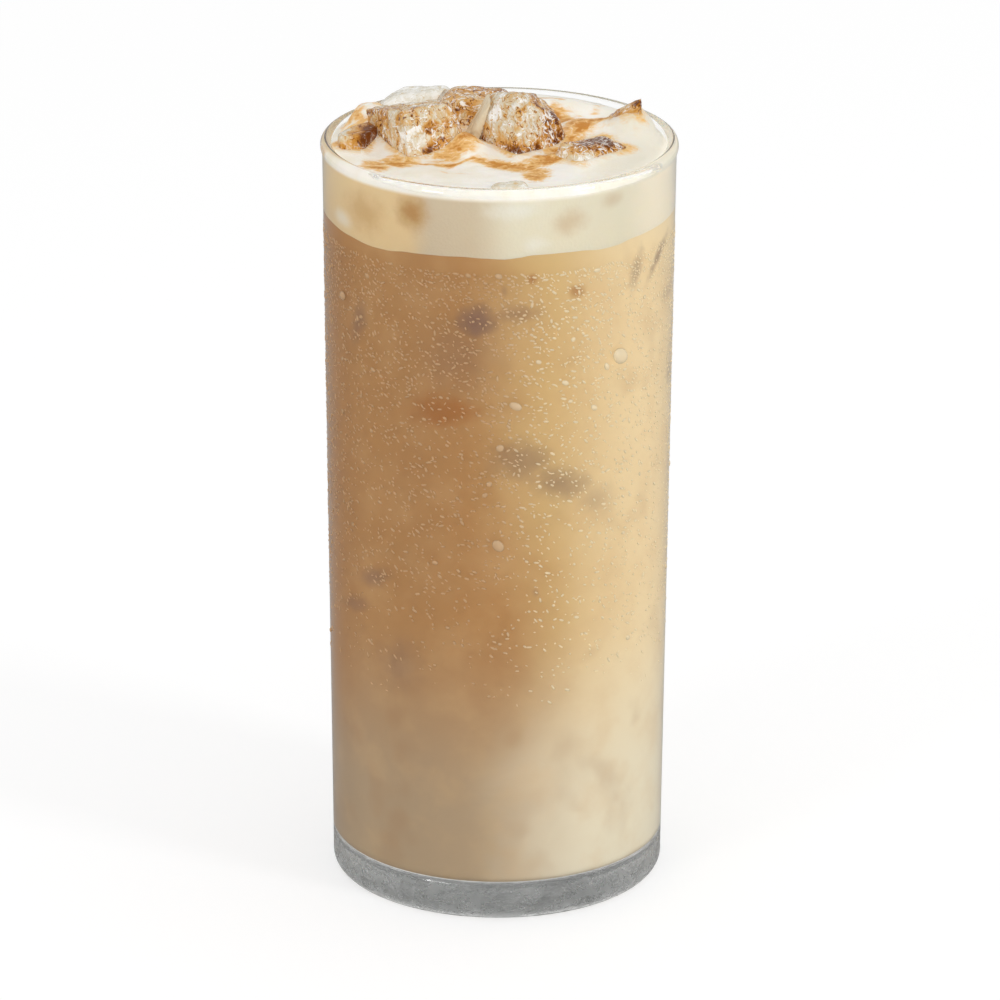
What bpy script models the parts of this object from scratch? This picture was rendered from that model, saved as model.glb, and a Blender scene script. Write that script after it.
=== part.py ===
"""An iced latte in a tall straight tumbler: glass, milky coffee, a cap of milk foam and the ice that stands out of it.

Metres, +Z up. The origin is the centre of the glass's underside, and -Y faces the viewer.
"""

import math

import bmesh
import bpy
from mathutils import Matrix, Vector, noise

MM = 0.001

# Glass
GLASS_HEIGHT = 151.5 * MM
LIP_RADIUS = 34.8 * MM          # the widest point of the rounded lip
LIP_HALF_WIDTH = 1.15 * MM
LIP_HALF_HEIGHT = 1.35 * MM
LIP_FOOT_Z = 148.6 * MM         # where the lip runs out into the wall
OUTER_TOP_RADIUS = 34.4 * MM    # the wall's outside at LIP_FOOT_Z
OUTER_FOOT_RADIUS = 32.85 * MM   # the wall's outside, run down to the table
WALL_TOP = 1.95 * MM
WALL_FOOT = 2.1 * MM
BASE_THICKNESS = 7.4 * MM
HEEL_RADIUS = 2.5 * MM          # the rounded outer edge of the base
INNER_CORNER = 2.2 * MM
PUNT_DEPTH = 0.8 * MM           # the hollow of the underside
PUNT_RADIUS = 25.0 * MM
FOOT_RING_INNER = 26.2 * MM     # the flat ring that the glass stands on starts here

# Contents
GAP = 0.3 * MM                  # free space between neighbouring solids
FOAM_BASE = 137.8 * MM          # mean height of the line between coffee and foam
FOAM_EDGE = 149.4 * MM          # lowest height of the foam where it meets the wall
FOAM_EDGE_RISE = 1.4 * MM       # the foam climbs the wall by this much at the back
FOAM_RISE_TOWARDS = 115         # degrees from +X
FOAM_LEVEL = 150.0 * MM         # height of the foam in the open field
EDGE_BLEND = 3.0 * MM           # width over which the foam comes down to its edge
FOAM_RIPPLE = 0.35 * MM
FOAM_RIPPLE_SIZE = 7.0 * MM

SEGMENTS = 64
FOAM_RINGS = 14
ICE_BEVEL = 1.1 * MM            # the melted rounding of the ice's edges
ICE_BEVEL_SEGMENTS = 2
SHORTEST_ICE_EDGE = 1.0 * MM    # corners nearer than this are one corner

# The wavy line between coffee and foam round the wall: degrees from +X, height in millimetres
FOAM_LINE = (
    (-165, 137.45), (-150, 137.0), (-137, 136.6), (-130, 136.7), (-122, 137.25), (-110, 137.5),
    (-102, 137.7), (-95, 137.55), (-88, 137.4), (-84, 137.65), (-79, 138.1), (-70, 138.1),
    (-62, 138.0), (-54, 137.55), (-48, 137.6), (-40, 138.1), (-25, 138.2), (-10, 138.35),
    (30, 138.0), (60, 137.7), (90, 138.0), (120, 137.6), (150, 137.8),
)

# Foam mounds: x, y, height over the field, radius across, radius along, turn in degrees
MOUNDS = (
    (-25.5 * MM, 9.5 * MM, 5.0 * MM, 5.5 * MM, 8.0 * MM, 20),
    (-12.0 * MM, 21.0 * MM, 3.0 * MM, 11.0 * MM, 6.0 * MM, 10),
    (11.0 * MM, 19.5 * MM, 3.4 * MM, 12.0 * MM, 6.0 * MM, -8),
    (26.2 * MM, 3.0 * MM, 6.3 * MM, 5.2 * MM, 5.6 * MM, 12),
    (-6.0 * MM, -5.5 * MM, 3.4 * MM, 3.6 * MM, 5.0 * MM, 30),
    (15.5 * MM, 4.5 * MM, 3.4 * MM, 5.0 * MM, 6.5 * MM, 35),
    (-8.0 * MM, 9.0 * MM, 2.5 * MM, 7.0 * MM, 6.0 * MM, 0),
    (21.0 * MM, -8.0 * MM, 0.9 * MM, 8.0 * MM, 8.0 * MM, 0),
)

# Ice blocks in millimetres and degrees: centre, full size, then the turns: the spin about
# the upright, and the leans about Y and X. Each chip is a flat cut off a corner or an edge:
# the way it faces and its distance from the centre.
ICE = {
    "ice_left": (
        (-15.6, -0.8, 148.0), (13.0, 16.0, 20.4), (28, -8, -10),
        (
            ((-0.60, 0.10, 0.80), 13.2), ((0.86, -0.10, 0.50), 10.8), ((0.2, 0.9, 0.4), 8.6),
            ((0.9, 0.5, -0.1), 7.4), ((-0.5, -0.7, -0.5), 11.0), ((0.3, 0.1, -1.0), 9.4),
            ((-0.7, -0.7, 0.15), 9.6),
        ),
    ),
    "ice_centre": (
        (4.3, -1.3, 147.2), (13.5, 13.0, 26.4), (42, 0, -18),
        (
            ((0.65, 0.05, 0.76), 11.0), ((0.92, 0.05, 0.38), 10.0), ((-0.89, -0.10, 0.45), 10.2),
            ((0.1, 0.9, 0.5), 12.0), ((0.5, -0.6, 0.62), 12.6), ((0.1, -0.2, -1.0), 10.6),
            ((-0.7, 0.7, -0.3), 7.6), ((0.55, -0.8, -0.1), 8.2),
        ),
    ),
    "ice_back": (
        (-4.0, 9.6, 147.9), (16.5, 10.0, 20.0), (-6, 0, 2),
        (
            ((-0.8, 0.1, 0.6), 11.0), ((0.8, 0.3, 0.5), 10.2), ((0.1, -0.8, 0.6), 9.8),
            ((0.2, 0.9, 0.5), 8.4), ((0.8, -0.8, 0.0), 8.2), ((-0.3, -0.2, -1.0), 9.6),
        ),
    ),
    "ice_slab": (
        (-3.8, 1.0, 153.6), (3.0, 5.2, 12.4), (10, 29, -4),
        (((0.5, -0.6, 0.8), 6.4), ((-0.8, -0.6, -0.4), 3.7)),
    ),
    "ice_right": (
        (17.7, -8.1, 148.2), (13.6, 8.6, 10.2), (41, 4, 0),
        (
            ((0.6, 0.5, 0.62), 7.0), ((-0.62, -0.62, 0.5), 7.5), ((0.4, -0.7, 0.6), 5.6),
            ((-0.5, 0.6, 0.62), 5.2), ((0.1, 0.2, -1.0), 4.6),
        ),
    ),
    "ice_rim": (
        (-27.7, -1.6, 147.5), (6.4, 11.0, 12.2), (-22, 0, 4),
        (
            ((-1.0, -0.17, 0.0), 4.0), ((0.5, -0.5, 0.7), 6.0), ((-0.4, 0.3, 0.85), 5.9),
            ((0.1, -0.9, 0.45), 5.8), ((0.2, 0.1, -1.0), 5.6),
        ),
    ),
    "ice_front": (
        (1.9, -27.2, 147.1), (8.2, 3.8, 7.4), (4, -3, 8),
        (((0.7, -0.3, 0.62), 4.6), ((-0.7, 0.2, 0.65), 4.6), ((0.0, 0.2, -1.0), 3.4)),
    ),
    "ice_frosted": (
        (-15.0, 15.4, 149.7), (17.4, 8.0, 14.0), (14, -6, 4),
        (
            ((-0.5, 0.1, 0.86), 8.0), ((0.7, 0.1, 0.7), 8.6), ((0.0, -0.7, 0.7), 6.6),
            ((0.1, 0.8, 0.6), 6.2), ((-0.8, 0.5, 0.1), 7.6), ((0.1, 0.0, -1.0), 6.4),
        ),
    ),
    "ice_peak": (
        (25.0, 2.9, 153.8), (11.4, 4.2, 6.0), (-8, -39, 0),
        (((1.0, 0.2, 0.0), 2.2), ((0.0, 0.1, -1.0), 3.4), ((0.2, 0.9, 0.4), 2.3)),
    ),
}

GLASS_COLOUR = (0.90, 0.94, 0.93, 1.0)
LATTE_COLOUR = (0.52, 0.31, 0.15, 1.0)
FOAM_COLOUR = (0.88, 0.82, 0.70, 1.0)
ICE_COLOUR = (0.80, 0.66, 0.48, 1.0)


def clear_scene():
    for obj in list(bpy.data.objects):
        bpy.data.objects.remove(obj)


def material(name, colour, roughness, transmission=0.0):
    made = bpy.data.materials.new(name)
    made.use_nodes = True
    shader = made.node_tree.nodes["Principled BSDF"]
    shader.inputs["Base Color"].default_value = colour
    shader.inputs["Roughness"].default_value = roughness
    shader.inputs["Metallic"].default_value = 0.0
    shader.inputs["Transmission Weight"].default_value = transmission
    return made


def object_from(bm, name, finish=None):
    bmesh.ops.recalc_face_normals(bm, faces=bm.faces)
    mesh = bpy.data.meshes.new(name)
    bm.to_mesh(mesh)
    bm.free()
    mesh.shade_smooth()
    mesh.set_sharp_from_angle(angle=math.radians(40))
    if finish:
        mesh.materials.append(finish)
    obj = bpy.data.objects.new(name, mesh)
    bpy.context.scene.collection.objects.link(obj)
    return obj


def spun(profile):
    """A closed bmesh: the profile of (radius, height) points, from axis to axis, turned round Z."""
    bm = bmesh.new()
    points = [bm.verts.new((radius, 0, z)) for radius, z in profile]
    edges = [bm.edges.new(pair) for pair in zip(points, points[1:])]
    bmesh.ops.spin(
        bm,
        geom=points + edges,
        cent=(0, 0, 0),
        axis=(0, 0, 1),
        angle=math.tau,
        steps=SEGMENTS,
        use_merge=True,
    )
    bmesh.ops.remove_doubles(bm, verts=bm.verts, dist=0.001 * MM)
    return bm


def arc(centre, half_width, half_height, start, end, steps):
    """Points of an elliptical arc in the profile plane, angles in degrees."""
    turns = [math.radians(start + (end - start) * i / steps) for i in range(steps + 1)]
    return [
        (centre[0] + half_width * math.cos(t), centre[1] + half_height * math.sin(t))
        for t in turns
    ]


def outer_radius(z):
    share = z / LIP_FOOT_Z
    return OUTER_FOOT_RADIUS + (OUTER_TOP_RADIUS - OUTER_FOOT_RADIUS) * share


def inner_radius(z):
    share = (z - BASE_THICKNESS) / (LIP_FOOT_Z - BASE_THICKNESS)
    foot = OUTER_FOOT_RADIUS - WALL_FOOT
    top = OUTER_TOP_RADIUS - WALL_TOP
    return foot + (top - foot) * share


def glass_profile():
    underside = [
        (PUNT_RADIUS * share, PUNT_DEPTH * (1 - share**2)) for share in (0, 0.4, 0.75, 1)
    ]
    heel_r = outer_radius(HEEL_RADIUS) - HEEL_RADIUS
    heel = arc((heel_r, HEEL_RADIUS), HEEL_RADIUS, HEEL_RADIUS, -90, 0, 5)
    wall = [(outer_radius(z), z) for z in (50 * MM, 100 * MM, LIP_FOOT_Z)]
    lip_centre = (LIP_RADIUS - LIP_HALF_WIDTH, GLASS_HEIGHT - LIP_HALF_HEIGHT)
    lip = arc(lip_centre, LIP_HALF_WIDTH, LIP_HALF_HEIGHT, -20, 180, 8)
    corner_z = BASE_THICKNESS + INNER_CORNER
    corner_r = inner_radius(corner_z) - INNER_CORNER
    inside = [(inner_radius(z), z) for z in (100 * MM, 50 * MM)]
    corner = arc((corner_r, corner_z), INNER_CORNER, INNER_CORNER, 0, -90, 4)
    floor = [(0, BASE_THICKNESS)]
    return underside + [(FOOT_RING_INNER, 0)] + heel + wall + lip + inside + corner + floor


def line_height(turn):
    """Height of the line between coffee and foam at the wall, at an angle in degrees."""
    first = FOAM_LINE[0][0]
    points = FOAM_LINE + ((first + 360, FOAM_LINE[0][1]),)
    turn = (turn - first) % 360 + first
    for (start, low), (end, high) in zip(points, points[1:]):
        if turn <= end:
            break
    share = (turn - start) / (end - start)
    share = share * share * (3 - 2 * share)
    return (low + (high - low) * share) * MM


def foam_base(x, y):
    """Height of the boundary between coffee and foam: wavy at the wall, calm inside."""
    reach = min(1.0, math.hypot(x, y) / inner_radius(FOAM_BASE))
    wave = line_height(math.degrees(math.atan2(y, x))) - FOAM_BASE
    return FOAM_BASE + wave * reach**2


def mound_height(x, y, mound):
    centre_x, centre_y, height, across, along, turn = mound
    turn = math.radians(turn)
    dx, dy = x - centre_x, y - centre_y
    u = (dx * math.cos(turn) + dy * math.sin(turn)) / across
    v = (dy * math.cos(turn) - dx * math.sin(turn)) / along
    return height * math.exp(-(u * u + v * v))


def foam_edge(x, y):
    """Height at which the foam meets the wall in the direction of a place."""
    turn = math.atan2(y, x) - math.radians(FOAM_RISE_TOWARDS)
    return FOAM_EDGE + FOAM_EDGE_RISE * (0.5 + 0.5 * math.cos(turn))


def foam_top(x, y):
    """Height of the foam's upper surface."""
    inside = inner_radius(FOAM_LEVEL) - math.hypot(x, y)
    share = min(1.0, max(0.0, inside / EDGE_BLEND))
    share = share * share * (3 - 2 * share)
    place = Vector((x, y, 0)) / FOAM_RIPPLE_SIZE
    field = FOAM_LEVEL + FOAM_RIPPLE * noise.noise(place)
    field += sum(mound_height(x, y, mound) for mound in MOUNDS)
    edge = foam_edge(x, y)
    return edge + (field - edge) * share


def foam_body():
    """The foam cap before the ice is cut from it."""
    wall = inner_radius(FOAM_BASE) - GAP
    rings = [wall * math.sqrt(i / FOAM_RINGS) for i in range(FOAM_RINGS, -1, -1)]
    under = [(wall * share, FOAM_BASE) for share in (0, 0.45, 0.8)]
    bm = spun(under + [(wall, FOAM_BASE)] + [(radius, FOAM_LEVEL) for radius in rings])
    lift = GAP / 2
    for vert in bm.verts:
        x, y, z = vert.co
        if z > FOAM_BASE + MM:
            vert.co.z = foam_top(x, y)
            spread = (inner_radius(vert.co.z) - GAP) / wall
            vert.co.xy = vert.co.xy * (1 + (spread - 1) * (math.hypot(x, y) / wall) ** 4)
        else:
            vert.co.z = foam_base(x, y) + lift
    return bm


def latte_body():
    """The coffee and milk under the foam, before the ice is cut from it."""
    bottom = BASE_THICKNESS + GAP
    corner_z = bottom + INNER_CORNER
    corner_r = inner_radius(corner_z) - GAP - INNER_CORNER
    corner = arc((corner_r, corner_z), INNER_CORNER, INNER_CORNER, -90, 0, 4)
    wall = [(inner_radius(z) - GAP, z) for z in (50 * MM, 100 * MM, FOAM_BASE)]
    rim = wall[-1][0]
    top = [(rim * share, FOAM_BASE) for share in (0.85, 0.7, 0.5, 0.25, 0)]
    bm = spun([(0, bottom)] + corner + wall + top)
    for vert in bm.verts:
        if vert.co.z > FOAM_BASE - MM:
            vert.co.z = foam_base(vert.co.x, vert.co.y) - GAP / 2
    return bm


def cut_flat(bm, point, facing):
    """Cuts off what lies beyond a plane and closes the body with a flat face."""
    cut = bmesh.ops.bisect_plane(
        bm,
        geom=bm.verts[:] + bm.edges[:] + bm.faces[:],
        dist=0.001 * MM,
        plane_co=point,
        plane_no=facing,
        clear_outer=True,
    )
    rim = [item for item in cut["geom_cut"] if isinstance(item, bmesh.types.BMEdge)]
    if rim:
        bmesh.ops.edgeloop_fill(bm, edges=rim)


def ice_body(name, grow=0.0):
    """A block of ice with chipped corners and melted edges; grow moves its faces outwards."""
    centre, size, turn, chips = ICE[name]
    spin, lean_side, lean_back = [math.radians(angle) for angle in turn]
    centre = Vector(centre) * MM
    turned = Matrix.Rotation(lean_back, 4, "X") @ Matrix.Rotation(lean_side, 4, "Y")
    place = Matrix.Translation(centre) @ turned @ Matrix.Rotation(spin, 4, "Z")
    bm = bmesh.new()
    bmesh.ops.create_cube(bm, size=1.0)
    bmesh.ops.scale(bm, vec=Vector(size) * MM + Vector((2 * grow,) * 3), verts=bm.verts)
    bm.transform(place)
    for facing, distance in chips:
        facing = Vector(facing).normalized()
        cut_flat(bm, centre + facing * (distance * MM + grow), facing)
    bmesh.ops.remove_doubles(bm, verts=bm.verts, dist=SHORTEST_ICE_EDGE)
    bmesh.ops.bevel(
        bm,
        geom=bm.edges[:],
        offset=ICE_BEVEL,
        offset_type="OFFSET",
        segments=ICE_BEVEL_SEGMENTS,
        profile=0.5,
        affect="EDGES",
        clamp_overlap=True,
        material=-1,
    )
    bmesh.ops.remove_doubles(bm, verts=bm.verts, dist=0.01 * MM)
    bmesh.ops.triangulate(bm, faces=bm.faces[:])
    return bm


def cutter(name):
    """A wire copy of an ice block, one gap larger all round."""
    obj = object_from(ice_body(name, grow=GAP), "cut_" + name)
    obj.hide_render = True
    obj.display_type = "WIRE"
    return obj


def keep_largest_body(bm):
    """Drops the loose scraps that a cut leaves."""
    left = set(bm.verts)
    bodies = []
    while left:
        todo = [left.pop()]
        body = set(todo)
        while todo:
            for edge in todo.pop().link_edges:
                for vert in edge.verts:
                    if vert in left:
                        left.remove(vert)
                        body.add(vert)
                        todo.append(vert)
        bodies.append(body)
    largest = max(bodies, key=len)
    scraps = [vert for body in bodies if body is not largest for vert in body]
    bmesh.ops.delete(bm, geom=scraps, context="VERTS")


def subtract(obj, cutters):
    """Cuts the blocks from the object in one go, and keeps its main body."""
    together = bpy.data.collections.new("cut_from_" + obj.name)
    bpy.context.scene.collection.children.link(together)
    for other in cutters:
        together.objects.link(other)
    cut = obj.modifiers.new("ice", "BOOLEAN")
    cut.operation = "DIFFERENCE"
    cut.solver = "EXACT"
    cut.operand_type = "COLLECTION"
    cut.collection = together
    graph = bpy.context.evaluated_depsgraph_get()
    bm = bmesh.new()
    bm.from_mesh(obj.evaluated_get(graph).to_mesh())
    obj.modifiers.clear()
    bpy.data.collections.remove(together)
    keep_largest_body(bm)
    bm.to_mesh(obj.data)
    bm.free()
    obj.data.shade_smooth()
    obj.data.set_sharp_from_angle(angle=math.radians(40))


def main():
    clear_scene()
    clear_glass = material("clear_glass", GLASS_COLOUR, 0.03, transmission=1.0)
    milky_coffee = material("milky_coffee", LATTE_COLOUR, 0.25)
    milk_foam = material("milk_foam", FOAM_COLOUR, 0.6)
    stained_ice = material("stained_ice", ICE_COLOUR, 0.12, transmission=0.8)

    object_from(spun(glass_profile()), "glass", clear_glass)
    latte = object_from(latte_body(), "latte", milky_coffee)
    foam = object_from(foam_body(), "foam", milk_foam)

    names = list(ICE)
    cutters = {name: cutter(name) for name in names}
    for place, name in enumerate(names):
        block = object_from(ice_body(name), name, stained_ice)
        earlier = [cutters[other] for other in names[:place]]
        if earlier:
            subtract(block, earlier)
    subtract(foam, cutters.values())
    subtract(latte, cutters.values())
    for obj in cutters.values():
        bpy.data.objects.remove(obj)


main()
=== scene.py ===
"""The iced latte dressed for its picture: clear glass, milky coffee, stained foam, cracked ice and condensation.

Metres, +Z up. The origin is the centre of the glass's underside, and -Y faces the viewer.
"""

import math
import random

import bmesh
import bpy
import numpy as np
from mathutils import Matrix, Vector, noise


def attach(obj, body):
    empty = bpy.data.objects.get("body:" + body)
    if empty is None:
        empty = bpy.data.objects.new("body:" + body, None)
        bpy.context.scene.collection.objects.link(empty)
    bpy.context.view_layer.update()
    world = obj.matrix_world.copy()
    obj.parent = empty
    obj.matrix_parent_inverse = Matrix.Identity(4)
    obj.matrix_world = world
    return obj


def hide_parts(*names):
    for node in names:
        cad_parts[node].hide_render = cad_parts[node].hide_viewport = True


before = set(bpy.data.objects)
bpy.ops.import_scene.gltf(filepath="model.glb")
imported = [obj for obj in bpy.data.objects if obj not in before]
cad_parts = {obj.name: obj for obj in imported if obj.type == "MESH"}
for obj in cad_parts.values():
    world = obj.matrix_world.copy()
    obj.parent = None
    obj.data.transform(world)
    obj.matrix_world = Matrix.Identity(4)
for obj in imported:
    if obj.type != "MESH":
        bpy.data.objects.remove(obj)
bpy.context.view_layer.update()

NOISE_SEED = 4
noise.seed_set(NOISE_SEED)

MM = 0.001

# Glass, as the solid has it
GLASS_HEIGHT = 151.5 * MM
LIP_RADIUS = 34.8 * MM
LIP_HALF_WIDTH = 1.15 * MM
LIP_HALF_HEIGHT = 1.35 * MM
LIP_FOOT_Z = 148.6 * MM
OUTER_TOP_RADIUS = 34.4 * MM
OUTER_FOOT_RADIUS = 32.85 * MM
WALL_TOP = 1.95 * MM
WALL_FOOT = 2.1 * MM
BASE_THICKNESS = 7.4 * MM
HEEL_RADIUS = 2.5 * MM
INNER_CORNER = 2.2 * MM
PUNT_DEPTH = 0.8 * MM
PUNT_RADIUS = 25.0 * MM
FOOT_RING_INNER = 26.2 * MM

# Contents, as the solids have them
FOAM_BASE = 137.8 * MM
FOAM_EDGE = 149.4 * MM
FOAM_EDGE_RISE = 1.4 * MM
FOAM_RISE_TOWARDS = 115
FOAM_LEVEL = 150.0 * MM
EDGE_BLEND = 3.0 * MM
FOAM_RIPPLE = 0.35 * MM
FOAM_RIPPLE_SIZE = 7.0 * MM
ICE_BEVEL = 1.1 * MM
SHORTEST_ICE_EDGE = 1.0 * MM

# Fineness and fit of the dressed pieces
GLASS_SEGMENTS = 144
DRINK_SEGMENTS = 192
FOAM_RINGS = 60
INTO_WALL = 0.12 * MM           # the drink reaches this far into the glass, so that no air shows
FOAM_INTO_WALL = 0.15 * MM
DROP_LEAN = (-1.1, 0.5)        # mean and spread of the drops' lean, in radians
DROP_FADE = 30 * MM              # the drops thin out over this height above the lowest
FOAM_OVERLAP = 0.1 * MM
PIT_SQUEEZE = 0.15 * MM         # the foam presses this far into the ice
CLIMB = 0.8 * MM                # the foam climbs the ice by this much
CLIMB_REACH = 1.3 * MM
ICE_VOXEL = 0.33 * MM

# The wavy line between coffee and foam round the wall: degrees from +X, height in millimetres
FOAM_LINE = (
    (-165, 137.45), (-150, 137.0), (-137, 136.6), (-130, 136.7), (-122, 137.25), (-110, 137.5),
    (-102, 137.7), (-95, 137.55), (-88, 137.4), (-84, 137.65), (-79, 138.1), (-70, 138.1),
    (-62, 138.0), (-54, 137.55), (-48, 137.6), (-40, 138.1), (-25, 138.2), (-10, 138.35),
    (30, 138.0), (60, 137.7), (90, 138.0), (120, 137.6), (150, 137.8),
)

# Foam mounds: x, y, height over the field, radius across, radius along, turn in degrees
MOUNDS = (
    (-25.5 * MM, 9.5 * MM, 5.0 * MM, 5.5 * MM, 8.0 * MM, 20),
    (-12.0 * MM, 21.0 * MM, 3.0 * MM, 11.0 * MM, 6.0 * MM, 10),
    (11.0 * MM, 19.5 * MM, 3.4 * MM, 12.0 * MM, 6.0 * MM, -8),
    (26.2 * MM, 3.0 * MM, 6.3 * MM, 5.2 * MM, 5.6 * MM, 12),
    (-6.0 * MM, -5.5 * MM, 3.4 * MM, 3.6 * MM, 5.0 * MM, 30),
    (15.5 * MM, 4.5 * MM, 3.4 * MM, 5.0 * MM, 6.5 * MM, 35),
    (-8.0 * MM, 9.0 * MM, 2.5 * MM, 7.0 * MM, 6.0 * MM, 0),
    (21.0 * MM, -8.0 * MM, 0.9 * MM, 8.0 * MM, 8.0 * MM, 0),
)

# Ice blocks in millimetres and degrees: centre, full size, then the turns: the spin about
# the upright, and the leans about Y and X. Each chip is a flat cut off a corner or an edge:
# the way it faces and its distance from the centre.
ICE = {
    "ice_left": (
        (-15.6, -0.8, 148.0), (13.0, 16.0, 20.4), (28, -8, -10),
        (
            ((-0.60, 0.10, 0.80), 13.2), ((0.86, -0.10, 0.50), 10.8), ((0.2, 0.9, 0.4), 8.6),
            ((0.9, 0.5, -0.1), 7.4), ((-0.5, -0.7, -0.5), 11.0), ((0.3, 0.1, -1.0), 9.4),
            ((-0.7, -0.7, 0.15), 9.6),
        ),
    ),
    "ice_centre": (
        (4.3, -1.3, 147.2), (13.5, 13.0, 26.4), (42, 0, -18),
        (
            ((0.65, 0.05, 0.76), 11.0), ((0.92, 0.05, 0.38), 10.0), ((-0.89, -0.10, 0.45), 10.2),
            ((0.1, 0.9, 0.5), 12.0), ((0.5, -0.6, 0.62), 12.6), ((0.1, -0.2, -1.0), 10.6),
            ((-0.7, 0.7, -0.3), 7.6), ((0.55, -0.8, -0.1), 8.2),
        ),
    ),
    "ice_back": (
        (-4.0, 9.6, 147.9), (16.5, 10.0, 20.0), (-6, 0, 2),
        (
            ((-0.8, 0.1, 0.6), 11.0), ((0.8, 0.3, 0.5), 10.2), ((0.1, -0.8, 0.6), 9.8),
            ((0.2, 0.9, 0.5), 8.4), ((0.8, -0.8, 0.0), 8.2), ((-0.3, -0.2, -1.0), 9.6),
        ),
    ),
    "ice_slab": (
        (-3.8, 1.0, 153.6), (3.0, 5.2, 12.4), (10, 29, -4),
        (((0.5, -0.6, 0.8), 6.4), ((-0.8, -0.6, -0.4), 3.7)),
    ),
    "ice_right": (
        (17.7, -8.1, 148.2), (13.6, 8.6, 10.2), (41, 4, 0),
        (
            ((0.6, 0.5, 0.62), 7.0), ((-0.62, -0.62, 0.5), 7.5), ((0.4, -0.7, 0.6), 5.6),
            ((-0.5, 0.6, 0.62), 5.2), ((0.1, 0.2, -1.0), 4.6),
        ),
    ),
    "ice_rim": (
        (-27.7, -1.6, 147.5), (6.4, 11.0, 12.2), (-22, 0, 4),
        (
            ((-1.0, -0.17, 0.0), 4.0), ((0.5, -0.5, 0.7), 6.0), ((-0.4, 0.3, 0.85), 5.9),
            ((0.1, -0.9, 0.45), 5.8), ((0.2, 0.1, -1.0), 5.6),
        ),
    ),
    "ice_front": (
        (1.9, -27.2, 147.1), (8.2, 3.8, 7.4), (4, -3, 8),
        (((0.7, -0.3, 0.62), 4.6), ((-0.7, 0.2, 0.65), 4.6), ((0.0, 0.2, -1.0), 3.4)),
    ),
    "ice_frosted": (
        (-15.0, 15.4, 149.7), (17.4, 8.0, 14.0), (14, -6, 4),
        (
            ((-0.5, 0.1, 0.86), 8.0), ((0.7, 0.1, 0.7), 8.6), ((0.0, -0.7, 0.7), 6.6),
            ((0.1, 0.8, 0.6), 6.2), ((-0.8, 0.5, 0.1), 7.6), ((0.1, 0.0, -1.0), 6.4),
        ),
    ),
    "ice_peak": (
        (25.0, 2.9, 153.8), (11.4, 4.2, 6.0), (-8, -39, 0),
        (((1.0, 0.2, 0.0), 2.2), ((0.0, 0.1, -1.0), 3.4), ((0.2, 0.9, 0.4), 2.3)),
    ),
}

# Coffee stains on the foam: points of a streak, in millimetres, then its half width and strength
STAINS = (
    (((-27.0, -14.5), (-23.5, -15.5)), 1.4, 0.55),
    (((-24.0, -15.0), (-21.5, -12.5), (-18.5, -12.5)), 2.9, 1.0),
    (((-18.2, -14.6), (-17.2, -12.8)), 1.2, 1.1),
    (((-17.0, -12.6), (-9.5, -13.8), (-1.8, -12.2)), 0.9, 0.95),
    (((-11.0, -18.0), (-6.0, -19.5)), 0.9, 0.3),
    (((-10.5, -10.0), (-7.5, -7.0), (-6.0, -3.0)), 3.4, 0.8),
    (((-2.5, -13.0), (4.0, -14.5), (9.0, -12.0), (12.0, -6.0)), 2.6, 1.0),
    (((3.5, -15.5), (6.5, -18.0), (6.8, -20.5)), 2.9, 0.85),
    (((11.0, 14.0), (13.6, 9.5), (16.2, 3.5), (14.0, -3.5)), 3.0, 0.95),
    (((17.0, 10.0), (19.5, 5.0)), 2.0, 0.3),
    (((-28.4, 10.5), (-28.4, 5.0), (-28.8, -0.5)), 2.3, 0.7),
    (((7.0, 25.5), (12.0, 19.0)), 0.8, 0.9),
    (((12.0, 25.0), (19.0, 23.0), (24.0, 19.0)), 0.6, 0.7),
    (((18.0, 15.0), (20.0, 19.0)), 1.3, 0.4),
    (((24.5, 1.0), (26.4, -0.6)), 2.2, 0.25),
    (((19.8, 3.4), (23.4, 4.4), (25.8, 4.8)), 1.3, 1.0),
    (((-13.5, 3.0), (-11.0, 6.0), (-6.5, 5.5)), 1.6, 0.5),
    (((-21.0, 24.0), (-12.0, 27.0), (-2.0, 26.5)), 0.9, 0.4),
)


# ---- shapes


def object_from(bm, name, body="root", angle=40):
    """The bmesh as a smooth-shaded object that belongs to the drink."""
    bmesh.ops.recalc_face_normals(bm, faces=bm.faces)
    mesh = bpy.data.meshes.new(name)
    bm.to_mesh(mesh)
    bm.free()
    return object_of(mesh, name, body, angle)


def object_of(mesh, name, body="root", angle=40):
    mesh.shade_smooth()
    if angle:
        mesh.set_sharp_from_angle(angle=math.radians(angle))
    obj = bpy.data.objects.new(name, mesh)
    bpy.context.scene.collection.objects.link(obj)
    if body:
        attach(obj, body)
    return obj


def spun(profile, segments):
    """The profile of (radius, height) points, from axis to axis, turned round Z."""
    bm = bmesh.new()
    points = [bm.verts.new((radius, 0, z)) for radius, z in profile]
    edges = [bm.edges.new(pair) for pair in zip(points, points[1:])]
    bmesh.ops.spin(
        bm,
        geom=points + edges,
        cent=(0, 0, 0),
        axis=(0, 0, 1),
        angle=math.tau,
        steps=segments,
        use_merge=True,
    )
    bmesh.ops.remove_doubles(bm, verts=bm.verts, dist=0.001 * MM)
    return bm


def arc(centre, half_width, half_height, start, end, steps):
    """Points of an elliptical arc in the profile plane, angles in degrees."""
    turns = [math.radians(start + (end - start) * i / steps) for i in range(steps + 1)]
    return [
        (centre[0] + half_width * math.cos(t), centre[1] + half_height * math.sin(t))
        for t in turns
    ]


def outer_radius(z):
    share = z / LIP_FOOT_Z
    return OUTER_FOOT_RADIUS + (OUTER_TOP_RADIUS - OUTER_FOOT_RADIUS) * share


def inner_radius(z):
    share = (z - BASE_THICKNESS) / (LIP_FOOT_Z - BASE_THICKNESS)
    foot = OUTER_FOOT_RADIUS - WALL_FOOT
    top = OUTER_TOP_RADIUS - WALL_TOP
    return foot + (top - foot) * share


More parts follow.
